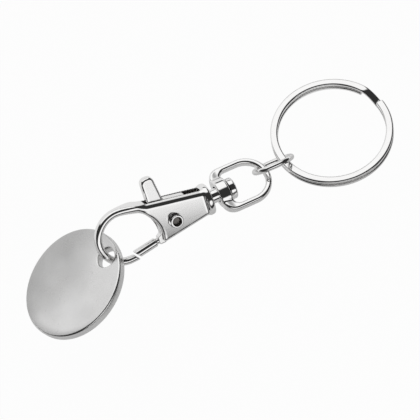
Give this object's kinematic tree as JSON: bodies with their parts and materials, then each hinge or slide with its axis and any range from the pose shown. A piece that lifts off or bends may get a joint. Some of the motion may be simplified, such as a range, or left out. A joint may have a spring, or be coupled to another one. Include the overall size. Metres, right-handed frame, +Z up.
{
  "type": "keyring",
  "caption": "Metal keyring with a sprung snap hook on a swivel eye, a small jump ring, a split key ring and a bare round token that hangs from the hook.",
  "frame": {"origin": "middle of the bounding box in X and Y, on the surface that the keyring lies on", "axes": "+X along the chain from the token to the split ring, +Y across it towards the thumb tab, +Z up from the surface"},
  "size_m": [0.0832, 0.0282, 0.0175],
  "materials": {
    "chrome_plating": "bright chrome plating with a satin cast on the flat sides",
    "ring_plating": "bright nickel plating on drawn wire",
    "spring_steel": "plain drawn spring wire",
    "token_steel": "plated stamped disc, smooth with a soft sheen"
  },
  "bodies": {
    "hook": {"hook_body": "chrome_plating", "pivot_rivet": "chrome_plating", "swivel_rivet": "chrome_plating", "gate_spring": "spring_steel"},
    "gate": {"gate_lever": "chrome_plating"},
    "eye": {"swivel_eye": "chrome_plating"},
    "jump_ring": {"jump_ring": "ring_plating"},
    "split_ring": {"split_ring": "ring_plating"},
    "token": {"token_disc": "token_steel"}
  },
  "joints": [
    {"name": "gate_hinge", "type": "hinge", "parent": "hook", "child": "gate", "pos_m": [-0.00779, -0.00031, 0.01078], "axis": [-0.1332, 0.5534, -0.8222], "range_deg": [0, 28], "stiffness_Nm_per_rad": 0.004, "springref_deg": -57.3, "deforming": ["gate_spring"]},
    {"name": "swivel_spin", "type": "hinge", "parent": "hook", "child": "eye", "pos_m": [0.00075, 0.00016, 0.00971], "axis": [0.9871, 0, -0.1599], "continuous": true},
    {"name": "jump_ring_swing", "type": "hinge", "parent": "eye", "child": "jump_ring", "pos_m": [0.01326, 0.00115, 0.00739], "axis": [-0.266, 0.9347, -0.2356], "range_deg": [-90, 90]},
    {"name": "split_ring_swing", "type": "hinge", "parent": "jump_ring", "child": "split_ring", "pos_m": [0.01941, 0.00125, 0.00648], "axis": [0.1444, -0.29, 0.9461], "range_deg": [-50, 40]},
    {"name": "token_swing", "type": "hinge", "parent": "hook", "child": "token", "pos_m": [-0.023, -0.00199, 0.01211], "axis": [0.4091, -0.7249, -0.5542], "range_deg": [-45, 50]}
  ]
}
